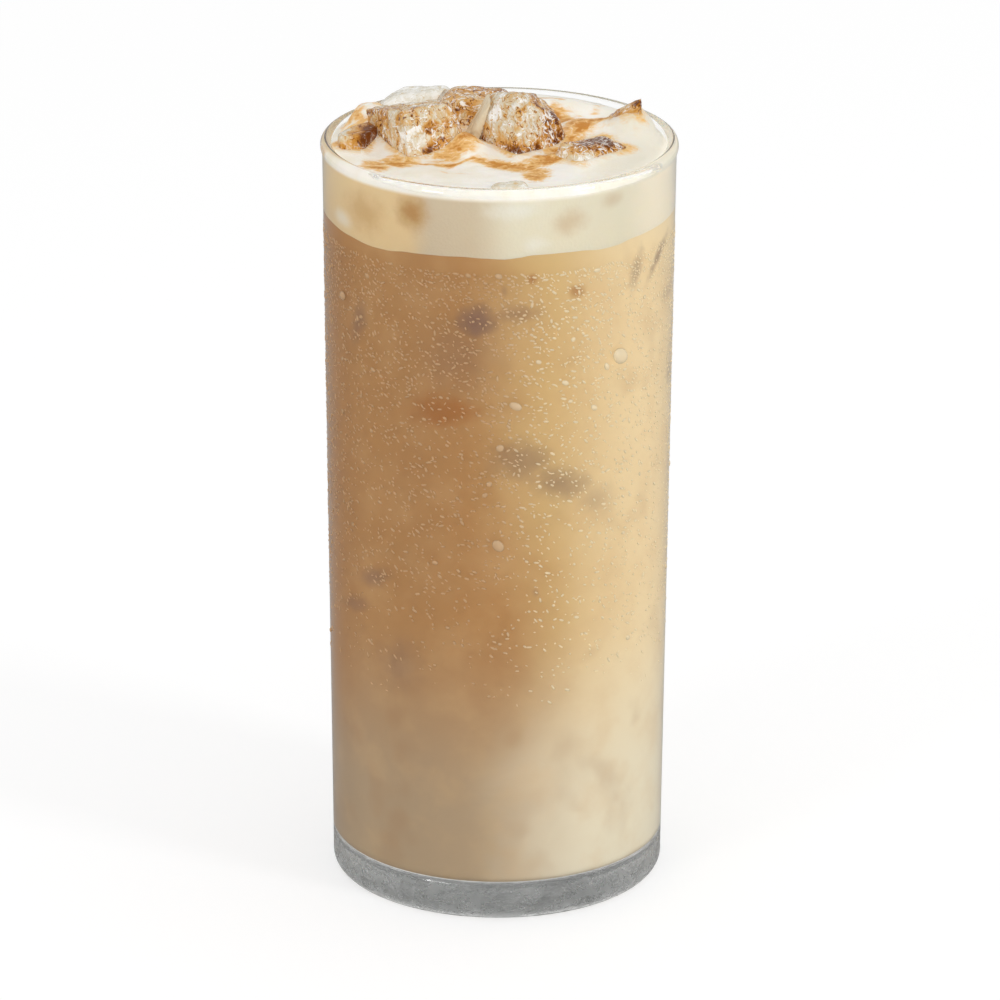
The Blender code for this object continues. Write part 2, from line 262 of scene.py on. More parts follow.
def heights(start, end, steps):
    return [start + (end - start) * i / steps for i in range(steps + 1)]


def glass_profile():
    underside = [
        (PUNT_RADIUS * share, PUNT_DEPTH * (1 - share**2))
        for share in (0, 0.2, 0.4, 0.6, 0.75, 0.88, 1)
    ]
    heel_r = outer_radius(HEEL_RADIUS) - HEEL_RADIUS
    heel = arc((heel_r, HEEL_RADIUS), HEEL_RADIUS, HEEL_RADIUS, -90, 0, 12)
    wall = [(outer_radius(z), z) for z in heights(12 * MM, LIP_FOOT_Z, 12)]
    lip_centre = (LIP_RADIUS - LIP_HALF_WIDTH, GLASS_HEIGHT - LIP_HALF_HEIGHT)
    lip = arc(lip_centre, LIP_HALF_WIDTH, LIP_HALF_HEIGHT, -20, 180, 20)
    corner_z = BASE_THICKNESS + INNER_CORNER
    corner_r = inner_radius(corner_z) - INNER_CORNER
    inside = [(inner_radius(z), z) for z in heights(LIP_FOOT_Z - 2 * MM, 14 * MM, 10)]
    corner = arc((corner_r, corner_z), INNER_CORNER, INNER_CORNER, 0, -90, 8)
    floor = [(18 * MM, BASE_THICKNESS), (9 * MM, BASE_THICKNESS), (0, BASE_THICKNESS)]
    return underside + [(FOOT_RING_INNER, 0)] + heel + wall + lip + inside + corner + floor


def line_height(turn):
    """Height of the line between coffee and foam at the wall, at an angle in degrees."""
    first = FOAM_LINE[0][0]
    points = FOAM_LINE + ((first + 360, FOAM_LINE[0][1]),)
    turn = (turn - first) % 360 + first
    for (start, low), (end, high) in zip(points, points[1:]):
        if turn <= end:
            break
    share = (turn - start) / (end - start)
    share = share * share * (3 - 2 * share)
    return (low + (high - low) * share) * MM


def foam_base(x, y):
    """Height of the boundary between coffee and foam: wavy at the wall, calm inside."""
    reach = min(1.0, math.hypot(x, y) / inner_radius(FOAM_BASE))
    wave = line_height(math.degrees(math.atan2(y, x))) - FOAM_BASE
    return FOAM_BASE + wave * reach**2


def mound_height(x, y, mound):
    centre_x, centre_y, height, across, along, turn = mound
    turn = math.radians(turn)
    dx, dy = x - centre_x, y - centre_y
    u = (dx * math.cos(turn) + dy * math.sin(turn)) / across
    v = (dy * math.cos(turn) - dx * math.sin(turn)) / along
    return height * math.exp(-(u * u + v * v))


def foam_edge(x, y):
    """Height at which the foam meets the wall in the direction of a place."""
    turn = math.atan2(y, x) - math.radians(FOAM_RISE_TOWARDS)
    return FOAM_EDGE + FOAM_EDGE_RISE * (0.5 + 0.5 * math.cos(turn))


def foam_top(x, y):
    """Height of the foam's upper surface, as the solid has it."""
    inside = inner_radius(FOAM_LEVEL) - math.hypot(x, y)
    share = min(1.0, max(0.0, inside / EDGE_BLEND))
    share = share * share * (3 - 2 * share)
    place = Vector((x, y, 0)) / FOAM_RIPPLE_SIZE
    field = FOAM_LEVEL + FOAM_RIPPLE * noise.noise(place)
    field += sum(mound_height(x, y, mound) for mound in MOUNDS)
    edge = foam_edge(x, y)
    return edge + (field - edge) * share


def ice_faces(name):
    """The flat faces of a block: a point and an outward direction for each."""
    centre, size, turn, chips = ICE[name]
    spin, lean_side, lean_back = [math.radians(angle) for angle in turn]
    centre = Vector(centre) * MM
    turned = Matrix.Rotation(lean_back, 3, "X") @ Matrix.Rotation(lean_side, 3, "Y")
    turned = turned @ Matrix.Rotation(spin, 3, "Z")
    faces = []
    for axis in range(3):
        for sign in (-1, 1):
            facing = turned @ Vector([sign * (axis == other) for other in range(3)])
            faces.append((centre + facing * size[axis] / 2 * MM, facing))
    for facing, distance in chips:
        facing = Vector(facing).normalized()
        faces.append((centre + facing * distance * MM, facing))
    return faces


def distance_to_ice(point, blocks):
    """Distance from a point to the nearest block, about right near its faces."""
    return min(max((point - at).dot(facing) for at, facing in faces) for faces in blocks)


def cut_flat(bm, point, facing):
    """Cuts off what lies beyond a plane and closes the body with a flat face."""
    cut = bmesh.ops.bisect_plane(
        bm,
        geom=bm.verts[:] + bm.edges[:] + bm.faces[:],
        dist=0.001 * MM,
        plane_co=point,
        plane_no=facing,
        clear_outer=True,
    )
    rim = [item for item in cut["geom_cut"] if isinstance(item, bmesh.types.BMEdge)]
    if rim:
        bmesh.ops.edgeloop_fill(bm, edges=rim)


def ice_body(name, grow=0.0):
    """A block of ice with chipped corners and melted edges; grow moves its faces outwards."""
    centre, size, turn, chips = ICE[name]
    spin, lean_side, lean_back = [math.radians(angle) for angle in turn]
    centre = Vector(centre) * MM
    turned = Matrix.Rotation(lean_back, 4, "X") @ Matrix.Rotation(lean_side, 4, "Y")
    place = Matrix.Translation(centre) @ turned @ Matrix.Rotation(spin, 4, "Z")
    bm = bmesh.new()
    bmesh.ops.create_cube(bm, size=1.0)
    bmesh.ops.scale(bm, vec=Vector(size) * MM + Vector((2 * grow,) * 3), verts=bm.verts)
    bm.transform(place)
    for facing, distance in chips:
        facing = Vector(facing).normalized()
        cut_flat(bm, centre + facing * (distance * MM + grow), facing)
    bmesh.ops.remove_doubles(bm, verts=bm.verts, dist=SHORTEST_ICE_EDGE)
    bmesh.ops.bevel(
        bm,
        geom=bm.edges[:],
        offset=ICE_BEVEL,
        offset_type="OFFSET",
        segments=3,
        profile=0.5,
        affect="EDGES",
        clamp_overlap=True,
        material=-1,
    )
    bmesh.ops.remove_doubles(bm, verts=bm.verts, dist=0.01 * MM)
    bmesh.ops.triangulate(bm, faces=bm.faces[:])
    return bm


def applied(obj):
    """Makes the object's modifiers part of its mesh."""
    graph = bpy.context.evaluated_depsgraph_get()
    mesh = bpy.data.meshes.new_from_object(obj.evaluated_get(graph))
    obj.modifiers.clear()
    old = obj.data
    obj.data = mesh
    bpy.data.meshes.remove(old)


def cut_away(obj, cutters, keep_cutters=False):
    """Cuts the blocks from the object in one go."""
    together = bpy.data.collections.new("cut_from_" + obj.name)
    bpy.context.scene.collection.children.link(together)
    for other in cutters:
        together.objects.link(other)
    cut = obj.modifiers.new("cut", "BOOLEAN")
    cut.operation = "DIFFERENCE"
    cut.solver = "EXACT"
    cut.operand_type = "COLLECTION"
    cut.collection = together
    applied(obj)
    bpy.data.collections.remove(together)
    if not keep_cutters:
        for other in cutters:
            bpy.data.objects.remove(other)


def cutter(name, grow):
    return object_from(ice_body(name, grow), "cut_" + name, body=None)


# ---- pieces


def make_glass():
    glass = object_from(spun(glass_profile(), GLASS_SEGMENTS), "tumbler")
    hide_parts("glass")
    return glass


def make_latte():
    bottom = BASE_THICKNESS - INTO_WALL
    corner_z = bottom + INNER_CORNER
    corner_r = inner_radius(corner_z) + INTO_WALL - INNER_CORNER
    corner = arc((corner_r, corner_z), INNER_CORNER, INNER_CORNER, -90, 0, 8)
    wall = [(inner_radius(z) + INTO_WALL, z) for z in heights(16 * MM, FOAM_BASE, 30)]
    rim = wall[-1][0]
    top = [(rim * share, FOAM_BASE) for share in (0.9, 0.8, 0.7, 0.6, 0.45, 0.3, 0.15, 0)]
    bm = spun([(0, bottom)] + corner + wall + top, DRINK_SEGMENTS)
    for vert in bm.verts:
        if vert.co.z > FOAM_BASE - MM:
            vert.co.z = foam_base(vert.co.x, vert.co.y)
    latte = object_from(bm, "coffee_with_milk")
    reaching = [name for name in ICE if min(v.co.z for v in ice_body(name).verts) < FOAM_BASE]
    cut_away(latte, [cutter(name, -PIT_SQUEEZE) for name in reaching])
    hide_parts("latte")
    return latte


def distance_to_streak(x, y, points):
    """Distance from a place to a bent line through the points, all in millimetres."""
    best = math.inf
    place = Vector((x, y))
    for start, end in zip(points, points[1:]):
        start, end = Vector(start), Vector(end)
        along = end - start
        share = min(1.0, max(0.0, (place - start).dot(along) / along.length_squared))
        best = min(best, (place - start - along * share).length)
    return best


def stain_at(co, ice_gap):
    """How strongly coffee stains the foam at a place, from 0 to 1."""
    warp = noise.noise_vector(co / (3.2 * MM)) * 1.9 + noise.noise_vector(co / (1.1 * MM)) * 0.5
    x, y = co.x / MM + warp.x, co.y / MM + warp.y
    total = 0.0
    for points, half_width, strength in STAINS:
        gap = distance_to_streak(x, y, points) / half_width
        total = max(total, strength * math.exp(-gap * gap))
    ring = math.exp(-((max(0.0, ice_gap) / (1.5 * MM)) ** 2))
    patchy = 0.5 + 0.5 * noise.noise(co / (4.5 * MM) + Vector((3, 0, 0)))
    grain = 0.75 + 0.6 * noise.noise(Vector((x / 3.5, y / 0.8, 0.0)))
    return min(1.0, max(total * grain, 0.75 * ring * patchy))


def make_foam():
    wall = inner_radius(FOAM_BASE) + FOAM_INTO_WALL
    rings = [wall * (i / FOAM_RINGS) ** 0.9 for i in range(FOAM_RINGS, -1, -1)]
    under = [(wall * share, FOAM_BASE) for share in (0, 0.25, 0.5, 0.75, 0.9)]
    side = [(wall, FOAM_BASE + (FOAM_EDGE - FOAM_BASE) * i / 14) for i in range(14)]
    bm = spun(under + side + [(radius, FOAM_LEVEL) for radius in rings], DRINK_SEGMENTS)
    blocks = [ice_faces(name) for name in ICE if name != "ice_front"]
    for vert in bm.verts:
        x, y, z = vert.co
        if z > FOAM_LEVEL - 0.01 * MM:
            height = foam_top(x, y)
            gap = distance_to_ice(Vector((x, y, height)), blocks)
            height += CLIMB * math.exp(-max(0.0, gap) / CLIMB_REACH)
            height += 0.10 * MM * noise.noise(Vector((x, y, 0)) / (1.6 * MM))
            height += 0.05 * MM * noise.noise(Vector((x, y, 0)) / (0.7 * MM))
            vert.co.z = height
            spread = (inner_radius(height) + FOAM_INTO_WALL) / wall
            vert.co.xy = vert.co.xy * (1 + (spread - 1) * (math.hypot(x, y) / wall) ** 4)
        elif z < FOAM_BASE + 0.01 * MM:
            vert.co.z = foam_base(x, y) - FOAM_OVERLAP
        else:
            share = (z - FOAM_BASE) / (FOAM_EDGE - FOAM_BASE)
            vert.co.z = foam_base(x, y) * (1 - share) + foam_edge(x, y) * share
            vert.co.xy = vert.co.xy * ((inner_radius(vert.co.z) + FOAM_INTO_WALL) / wall)
    foam = object_from(bm, "milk_foam_cap")
    cut_away(foam, [cutter(name, -PIT_SQUEEZE) for name in ICE])
    mesh = foam.data
    mesh.shade_smooth()
    mesh.set_sharp_from_angle(angle=math.radians(50))
    stain = mesh.attributes.new("stain", "FLOAT", "POINT")
    values = [stain_at(v.co, distance_to_ice(v.co, blocks)) for v in mesh.vertices]
    stain.data.foreach_set("value", values)
    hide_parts("foam")
    return foam


def facet_at(place):
    """Of the cracked surface at a place: hollow depth and nearness to a ridge, each 0 to 1."""
    distances, _ = noise.voronoi(place, distance_metric="DISTANCE")
    hollow = 1.0 - min(1.0, distances[0] * 1.3)
    ridge = 1.0 - min(1.0, (distances[1] - distances[0]) / 0.22)
    return hollow, ridge


def make_ice(name, facet_size, facet_depth):
    """A block with a fine surface of hollows and ridges, cut back from the earlier blocks."""
    names = list(ICE)
    block = object_from(ice_body(name), name + "_cracked", angle=None)
    earlier = names[: names.index(name)]
    if earlier:
        cut_away(block, [cutter(other, 0.15 * MM) for other in earlier])
    fine = block.modifiers.new("fine", "REMESH")
    fine.mode = "VOXEL"
    fine.voxel_size = ICE_VOXEL
    soften = block.modifiers.new("soften", "SMOOTH")
    soften.factor = 0.5
    soften.iterations = 2
    applied(block)
    mesh = block.data
    normals = [v.normal.copy() for v in mesh.vertices]
    ridges = []
    for vert, normal in zip(mesh.vertices, normals):
        place = vert.co / facet_size + noise.noise_vector(vert.co / (3 * MM)) * 0.6
        hollow, ridge = facet_at(place)
        fine_hollow, fine_ridge = facet_at(place * 2.4)
        swell = noise.noise(vert.co / (5 * MM))
        depth = facet_depth * (hollow + 0.35 * fine_hollow) - 0.2 * MM * swell
        vert.co -= normal * depth
        ridges.append(max(ridge, 0.6 * fine_ridge))
    mesh.attributes.new("ridge", "FLOAT", "POINT").data.foreach_set("value", ridges)
    mesh.shade_smooth()
    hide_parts(name)
    return block


def dome(u_segments, v_segments):
    """A unit drop of water: half a ball on the XY plane, closed below."""
    bm = bmesh.new()
    bmesh.ops.create_uvsphere(bm, u_segments=u_segments, v_segments=v_segments, radius=1.0)
    cut_flat(bm, (0, 0, 0), (0, 0, -1))
    bmesh.ops.triangulate(bm, faces=bm.faces[:])
    bmesh.ops.recalc_face_normals(bm, faces=bm.faces)
    mesh = bpy.data.meshes.new("dome")
    bm.to_mesh(mesh)
    bm.free()
    corners = np.array([v.co[:] for v in mesh.vertices])
    faces = np.array([p.vertices[:] for p in mesh.polygons])
    bpy.data.meshes.remove(mesh)
    return corners, faces


def drop_places(count, sizes, span, seed, taken):
    """Places on the glass: angle, height, radius. No two drops touch."""
    pick = random.Random(seed)
    places = []
    cell = 2.0 * MM
    tries = 0
    while len(places) < count and tries < count * 30:
        tries += 1
        low, high = span
        z = low + (high - low) * (1 - pick.random() ** 1.6 * 0.999)
        angle = pick.uniform(0, math.tau)
        reach = outer_radius(z)
        if noise.noise(Vector((angle * 3, z / (14 * MM), seed))) < pick.uniform(-1.2, -0.1):
            continue
        if z < low + DROP_FADE * pick.random():
            continue
        small, large = sizes
        radius = small + (large - small) * pick.random() ** 1.5
        key = (int(angle * reach / cell), int(z / cell))
        near = [
            other
            for i in (-1, 0, 1)
            for j in (-1, 0, 1)
            for other in taken.get((key[0] + i, key[1] + j), ())
        ]
        if any(
            math.hypot((angle - a) * reach, z - h) < (radius + r) * 1.25 for a, h, r in near
        ):
            continue
        taken.setdefault(key, []).append((angle, z, radius))
        places.append((angle, z, radius))
    return places


def make_drops(name, places, unit, flatness, stretch, seed):
    """One joined mesh of drops that cling to the glass's outside."""
    pick = random.Random(seed)
    corners, faces = unit
    all_corners, all_faces = [], []
    for angle, z, radius in places:
        outward = np.array((math.cos(angle), math.sin(angle), 0.0))
        sideways = np.array((-math.sin(angle), math.cos(angle), 0.0))
        upward = np.array((0.0, 0.0, 1.0))
        lean = pick.gauss(*DROP_LEAN)
        long_way = upward * math.cos(lean) + sideways * math.sin(lean)
        short_way = sideways * math.cos(lean) - upward * math.sin(lean)
        length = radius * pick.uniform(1.0, stretch)
        width = radius * pick.uniform(0.7, 1.0)
        height = radius * pick.uniform(*flatness)
        centre = outward * (outer_radius(z) - 0.015 * MM) + upward * z
        shape = (
            np.outer(corners[:, 0], short_way) * width
            + np.outer(corners[:, 1], long_way) * length
            + np.outer(corners[:, 2], outward) * height
        )
        all_faces.append(faces + len(corners) * len(all_corners))
        all_corners.append(shape + centre)
    mesh = bpy.data.meshes.new(name)
    mesh.from_pydata(np.concatenate(all_corners).tolist(), [], np.concatenate(all_faces).tolist())
    bm = bmesh.new()
    bm.from_mesh(mesh)
    bmesh.ops.recalc_face_normals(bm, faces=bm.faces)
    bm.to_mesh(mesh)
    bm.free()
    return object_of(mesh, name, angle=None)


def make_condensation():
    taken = {}
    named = [
        (math.atan2(y, x), z * MM, size * MM)
        for x, y, z, size in (
            (23.2, -24.6, 115.2, 1.75),
            (20.6, -26.8, 113.8, 0.8),
            (3.2, -33.0, 108.0, 0.95),
            (0.0, -33.2, 79.4, 1.15),
            (-29.3, -15.6, 124.3, 1.0),
            (0.3, -33.2, 99.5, 0.8),
            (12.5, -30.8, 112.0, 0.6),
            (18.0, -28.0, 106.0, 0.6),
        )
    ]
    cell = 2.0 * MM
    for angle, z, radius in named:
        angle %= math.tau
        taken.setdefault((int(angle * outer_radius(z) / cell), int(z / cell)), []).append(
            (angle, z, radius)
        )
    span = (44 * MM, 134.5 * MM)
    large = named + drop_places(60, (0.4 * MM, 0.62 * MM), span, 5, taken)
    small = drop_places(8800, (0.14 * MM, 0.31 * MM), span, 9, taken)
    big_drops = make_drops("large_drops", large, dome(14, 8), (0.35, 0.5), 1.4, 3)
    fine_drops = make_drops("condensation", small, dome(6, 4), (0.3, 0.5), 2.5, 4)
    return big_drops, fine_drops


# ---- finishes


def socket_value(node, values):
    for name, value in values.items():
        node.inputs[name].default_value = value


class Finish:
    """A material under construction, with short ways to add and join its nodes."""

    def __init__(self, name):
        self.material = bpy.data.materials.new(name)
        self.material.use_nodes = True
        self.tree = self.material.node_tree
        self.shader = self.tree.nodes["Principled BSDF"]
        self.output = self.tree.nodes["Material Output"]
        self.coords = self.node("ShaderNodeTexCoord").outputs["Object"]

    def node(self, kind, values=None, **settings):
        made = self.tree.nodes.new(kind)
        for name, value in settings.items():
            setattr(made, name, value)
        socket_value(made, values or {})
        return made

    def join(self, source, target):
        self.tree.links.new(source, target)

    def noise(self, size, detail=3.0, rough=0.55, vector=None, distortion=0.0):
        made = self.node(
            "ShaderNodeTexNoise",
            {"Scale": 1 / size, "Detail": detail, "Roughness": rough, "Distortion": distortion},
        )
        self.join(vector or self.coords, made.inputs["Vector"])
        return made.outputs["Fac"]

    def wobble(self, size, amount):
        """The place, moved about by noise."""
        made = self.node("ShaderNodeTexNoise", {"Scale": 1 / size, "Detail": 2.0})
        self.join(self.coords, made.inputs["Vector"])
        moved = self.node("ShaderNodeVectorMath", operation="MULTIPLY_ADD")
        self.join(made.outputs["Color"], moved.inputs[0])
        moved.inputs[1].default_value = (2 * amount,) * 3
        self.join(self.coords, moved.inputs[2])
        return moved.outputs["Vector"]

    def flow(self, twist, stretch):
        """The place, drawn out along a line that leans by the twist from the upright."""
        turned = self.node("ShaderNodeVectorRotate", rotation_type="Y_AXIS")
        self.join(self.coords, turned.inputs["Vector"])
        turned.inputs["Angle"].default_value = math.radians(twist)
        drawn = self.node("ShaderNodeVectorMath", operation="MULTIPLY")
        self.join(turned.outputs["Vector"], drawn.inputs[0])
        drawn.inputs[1].default_value = (1.0, 1.0, 1.0 / stretch)
        return drawn.outputs["Vector"]

    def lines(self, size, width, vector=None, distortion=0.0):
        """Thin winding lines, where a noise passes its middle."""
        away = self.sum("SUBTRACT", self.noise(size, 1.0, 0.5, vector, distortion), 0.5)
        return self.span(self.sum("ABSOLUTE", away, 0.0), width, width * 0.3)

    def cells(self, size, vector=None, feature="F1"):
        made = self.node("ShaderNodeTexVoronoi", {"Scale": 1 / size}, feature=feature)
        self.join(vector or self.coords, made.inputs["Vector"])
        return made.outputs["Distance"]

    def shards(self, size, vector):
        """Sharp-edged cells, each with a value of its own."""
        made = self.node("ShaderNodeTexVoronoi", {"Scale": 1 / size})
        self.join(vector, made.inputs["Vector"])
        split = self.node("ShaderNodeSeparateColor")
        self.join(made.outputs["Color"], split.inputs["Color"])
        return split.outputs["Red"]

    def span(self, value, low, high, to_low=0.0, to_high=1.0, smooth=True):
        made = self.node(
            "ShaderNodeMapRange",
            {"From Min": low, "From Max": high, "To Min": to_low, "To Max": to_high},
        )
        made.interpolation_type = "SMOOTHSTEP" if smooth else "LINEAR"
        self.join(value, made.inputs["Value"])
        return made.outputs["Result"]

    def sum(self, operation, first, second):
        made = self.node("ShaderNodeMath", operation=operation)
        for socket, value in zip(made.inputs, (first, second)):
            if isinstance(value, (int, float)):
                socket.default_value = value
            else:
                self.join(value, socket)
        return made.outputs["Value"]

    def mix(self, mask, first, second, blend="MIX"):
        """Mixes two colours, each a socket or (red, green, blue), by a mask socket or a number."""
        made = self.node("ShaderNodeMix", data_type="RGBA", blend_type=blend)
        for socket, value in ((made.inputs[6], first), (made.inputs[7], second)):
            if isinstance(value, tuple):
                socket.default_value = (*value, 1.0)
            else:
                self.join(value, socket)
        if isinstance(mask, (int, float)):
            made.inputs[0].default_value = mask
        else:
            self.join(mask, made.inputs[0])
        return made.outputs[2]

    def axis(self, name):
        made = self.node("ShaderNodeSeparateXYZ")
        self.join(self.coords, made.inputs["Vector"])
        return made.outputs[name]

    def bump(self, height, depth, strength=1.0, under=None):
        made = self.node("ShaderNodeBump", {"Distance": depth, "Strength": strength})
        self.join(height, made.inputs["Height"])
        if under:
            self.join(under, made.inputs["Normal"])
        return made.outputs["Normal"]

    def patch(self, centre, size, twist=0.0, warp=0.25, softness=1.0):
        """A soft patch round a place: 1 inside, 0 outside, its edge warped by noise."""
        made = self.node("ShaderNodeGroup")
        made.node_tree = patch_group()
        self.join(self.coords, made.inputs["Place"])
        socket_value(
            made,
            {
                "Centre": [c * MM for c in centre],
                "Size": [s * MM for s in size],
                "Twist": math.radians(twist),
                "Warp": warp,
                "Softness": softness,
            },
        )
        return made.outputs["Mask"]

    def most(self, masks):
        total = masks[0]
        for mask in masks[1:]:
            total = self.sum("MAXIMUM", total, mask)
        return total

    def let_lamps_through(self):
        """Lamps shine through the clear material instead of being blocked by it."""
        clear = self.node("ShaderNodeBsdfTransparent")
        path = self.node("ShaderNodeLightPath")
        either = self.node("ShaderNodeMixShader")
        self.join(path.outputs["Is Shadow Ray"], either.inputs["Fac"])
        self.join(self.shader.outputs["BSDF"], either.inputs[1])
        self.join(clear.outputs["BSDF"], either.inputs[2])
        self.join(either.outputs["Shader"], self.output.inputs["Surface"])
        return clear


def patch_group():
    """Node group: the mask of a soft, warped, turned oval patch."""
    name = "soft_patch"
    if name in bpy.data.node_groups:
        return bpy.data.node_groups[name]
    group = bpy.data.node_groups.new(name, "ShaderNodeTree")
    for socket, kind in (
        ("Place", "NodeSocketVector"),
        ("Centre", "NodeSocketVector"),
        ("Size", "NodeSocketVector"),
        ("Twist", "NodeSocketFloat"),
        ("Warp", "NodeSocketFloat"),
        ("Softness", "NodeSocketFloat"),
    ):
        group.interface.new_socket(socket, in_out="INPUT", socket_type=kind)
    group.interface.new_socket("Mask", in_out="OUTPUT", socket_type="NodeSocketFloat")
    nodes, links = group.nodes, group.links
    start, end = nodes.new("NodeGroupInput"), nodes.new("NodeGroupOutput")
    away = nodes.new("ShaderNodeVectorMath")
    away.operation = "SUBTRACT"
    links.new(start.outputs["Place"], away.inputs[0])
    links.new(start.outputs["Centre"], away.inputs[1])
    turn = nodes.new("ShaderNodeVectorRotate")
    turn.rotation_type = "Y_AXIS"
    links.new(away.outputs[0], turn.inputs["Vector"])
    links.new(start.outputs["Twist"], turn.inputs["Angle"])
    shrink = nodes.new("ShaderNodeVectorMath")
    shrink.operation = "DIVIDE"
    links.new(turn.outputs[0], shrink.inputs[0])
    links.new(start.outputs["Size"], shrink.inputs[1])
    far = nodes.new("ShaderNodeVectorMath")
    far.operation = "LENGTH"
    links.new(shrink.outputs[0], far.inputs[0])
    wobble = nodes.new("ShaderNodeTexNoise")
    socket_value(wobble, {"Scale": 1 / (3.5 * MM), "Detail": 4.0, "Roughness": 0.6})
    links.new(start.outputs["Place"], wobble.inputs["Vector"])
    centred = nodes.new("ShaderNodeMath")
    centred.operation = "SUBTRACT"
    centred.inputs[1].default_value = 0.5
    links.new(wobble.outputs["Fac"], centred.inputs[0])
    warped = nodes.new("ShaderNodeMath")
    warped.operation = "MULTIPLY_ADD"
    links.new(centred.outputs[0], warped.inputs[0])
    links.new(start.outputs["Warp"], warped.inputs[1])
    links.new(far.outputs["Value"], warped.inputs[2])
    lowest = nodes.new("ShaderNodeMath")
    lowest.operation = "SUBTRACT"
    lowest.inputs[0].default_value = 1.0
    links.new(start.outputs["Softness"], lowest.inputs[1])
    fade = nodes.new("ShaderNodeMapRange")
    fade.interpolation_type = "SMOOTHSTEP"
    links.new(warped.outputs[0], fade.inputs["Value"])
    links.new(lowest.outputs[0], fade.inputs["From Min"])
    fade.inputs["From Max"].default_value = 1.0
    fade.inputs["To Min"].default_value = 1.0
    fade.inputs["To Max"].default_value = 0.0
    links.new(fade.outputs["Result"], end.inputs["Mask"])
    return group


def glass_finish():
    """Clear glass, its thick base tinted grey in smoky mottles: painted shade for what the base refracts."""
    finish = Finish("clear_misted_glass")
    socket_value(
        finish.shader,
        {"Roughness": 0.0, "IOR": 1.5, "Transmission Weight": 1.0},
    )
    low = finish.span(finish.axis("Z"), 8.2 * MM, 7.0 * MM)
    smoke = finish.noise(6 * MM, 4.0, 0.6, distortion=0.5)
    fleck = finish.noise(1.2 * MM, 3.0, 0.65)
    # Painted shade: below the drink the glass is tinted grey in smoky mottles.
    tint = finish.mix(finish.span(smoke, 0.4, 0.65), (0.80, 0.81, 0.80), (0.99, 0.99, 0.98))
    colour = finish.mix(low, (0.985, 0.99, 0.985), tint)
    finish.join(colour, finish.shader.inputs["Base Color"])
    relief = finish.sum("ADD", smoke, finish.sum("MULTIPLY", fleck, 0.3))
    relief = finish.sum("MULTIPLY", relief, low)
    finish.join(finish.bump(relief, 0.7 * MM, 0.6), finish.shader.inputs["Normal"])
    haze = finish.noise(2.4 * MM, 4.0, 0.65, finish.flow(90, 3.0), 0.3)
    mist = finish.sum("MULTIPLY", low, finish.span(haze, 0.36, 0.70, 0.06, 0.5))
    finish.join(mist, finish.shader.inputs["Roughness"])
    finish.let_lamps_through()
    return finish.material


def water_finish(name, roughness, clearness):
    """Water drops with a pale colour that paints in their highlights, darker and warmer over the drink's left
    side in painted shade.
    """
    finish = Finish(name)
    socket_value(
        finish.shader,
        {
            "Roughness": roughness,
            "IOR": 1.33,
            "Specular IOR Level": 0.5,
            "Transmission Weight": clearness,
        },
    )
    # Painted highlight and shade: the pale colour stands in for the drops' highlights, darker and warmer on the
    # left where the drink is in painted shade.
    side = finish.span(finish.axis("X"), -4 * MM, 12 * MM)
    colour = finish.mix(side, (0.66, 0.43, 0.235), (0.96, 0.82, 0.57))
    finish.join(colour, finish.shader.inputs["Base Color"])
    ripple = finish.noise(0.5 * MM, 2.0)
    finish.join(finish.bump(ripple, 0.05 * MM, 0.3), finish.shader.inputs["Normal"])
    finish.let_lamps_through()
    return finish.material


# Ice sunk in the drink and seen through the glass: centre, half size, twist, warp, softness, strength
SUNK_ICE = (
    ((-4.2, -32, 124.7), (5.4, 9, 4.8), 10, 0.7, 0.75, 0.95),
    ((-7.5, -32, 117.5), (12.0, 9, 12.0), 0, 0.7, 1.0, 0.38),
    ((3.2, -32, 126.2), (7.2, 9, 2.6), 0, 0.9, 0.95, 0.55),
    ((4.4, -32, 96.6), (8.4, 9, 6.0), -5, 0.9, 0.9, 0.6),
    ((11.6, -30, 91.2), (9.4, 12, 4.8), -24, 0.7, 0.95, 0.7),
    ((18.6, -27, 86.6), (5.6, 14, 4.4), -24, 0.7, 1.0, 0.35),
    ((-23.6, -23, 68.4), (5.4, 14, 2.6), 35, 0.7, 0.95, 0.6),
    ((-27.0, -19, 61.0), (4.2, 14, 2.2), 35, 0.7, 0.95, 0.5),
    ((-19.0, -27, 51.6), (6.4, 12, 7.8), -10, 0.9, 1.0, 0.42),
    ((-26.2, -19, 120.0), (1.9, 14, 6.4), -10, 0.6, 0.9, 0.55),
    ((25.6, -21, 131.0), (1.5, 14, 5.6), -10, 1.0, 0.9, 0.6),
    ((29.6, -15, 132.0), (1.0, 14, 6.6), -24, 1.0, 0.9, 0.8),
    ((31.4, -10, 123.0), (1.4, 14, 2.6), -10, 0.6, 0.9, 0.4),
    ((31.8, -8, 106.0), (0.8, 14, 4.0), 0, 0.6, 0.9, 0.5),
    ((1.0, -32, 131.0), (0.9, 9, 1.8), 0, 0.5, 0.9, 0.35),
    ((7.2, -32, 69.0), (1.0, 9, 1.3), 0, 0.5, 0.9, 0.4),
)
SUNK_BROWN = (
    ((-10.8, -31, 106.0), (9.6, 12, 4.6), 2, 0.8, 0.8, 1.0),
    ((6.2, -32, 133.2), (1.4, 9, 1.6), -20, 0.6, 0.8, 0.8),
    ((14.6, -30, 129.8), (2.4, 12, 2.0), -20, 0.8, 0.9, 0.8),
)


